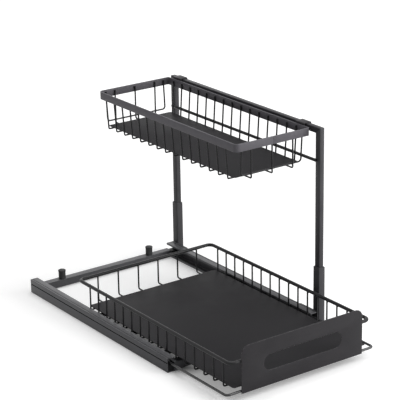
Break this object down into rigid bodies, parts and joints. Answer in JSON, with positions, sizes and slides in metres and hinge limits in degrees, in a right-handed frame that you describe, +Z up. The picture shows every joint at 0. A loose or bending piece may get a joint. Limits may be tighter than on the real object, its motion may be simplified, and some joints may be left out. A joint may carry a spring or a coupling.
{
  "type": "under sink organizer",
  "caption": "Two-tier under-sink organizer: a wire basket drawer on rails with a handle panel, and a narrow wire basket hung from a side frame.",
  "frame": {"origin": "middle of the footprint on the standing surface, with the drawer as pictured", "axes": "+Z up, -Y the front that the drawer comes out of, +X to the right, where the frame stands"},
  "size_m": [0.3046, 0.5436, 0.3267],
  "materials": {
    "frame_coat": "satin powder coat, near black",
    "basket_coat": "satin powder coat, near black",
    "sheet_coat": "fine satin powder coat, near black",
    "black_nylon": "moulded, matte",
    "black_rubber": "matte",
    "zinc_screws": "zinc plated",
    "black_screws": "black oxide"
  },
  "bodies": {
    "base": {"left_rail": "frame_coat", "right_rail": "frame_coat", "front_crossbar": "frame_coat", "rear_crossbar": "frame_coat", "corner_blocks": "black_nylon", "corner_screws": "zinc_screws", "stop_bumpers": "black_rubber", "bumper_screws": "zinc_screws", "front_socket": "frame_coat", "rear_socket": "frame_coat", "socket_plates": "frame_coat", "plate_screws": "black_screws", "front_leg": "frame_coat", "rear_leg": "frame_coat", "top_bar": "frame_coat", "leg_screws": "black_screws", "leg_plugs": "black_nylon", "support_rod": "basket_coat"},
    "upper_basket": {"upper_band": "sheet_coat", "upper_cross_wires": "basket_coat", "upper_long_wires": "basket_coat", "upper_end_wires": "basket_coat", "upper_floor": "sheet_coat", "hook_plates": "sheet_coat"},
    "drawer": {"slide_loop": "basket_coat", "slide_gliders": "black_nylon", "support_bars": "frame_coat", "lower_rim": "basket_coat", "lower_cross_wires": "basket_coat", "lower_long_wires": "basket_coat", "lower_floor": "sheet_coat", "front_panel": "sheet_coat"}
  },
  "joints": [
    {"name": "drawer_slide", "type": "slide", "parent": "base", "child": "drawer", "axis": [0, -1, 0], "range_m": [-0.137, 0.17]},
    {"name": "upper_basket_lift", "type": "slide", "parent": "base", "child": "upper_basket", "axis": [0, 0, 1], "range_m": [0, 0.025]}
  ]
}
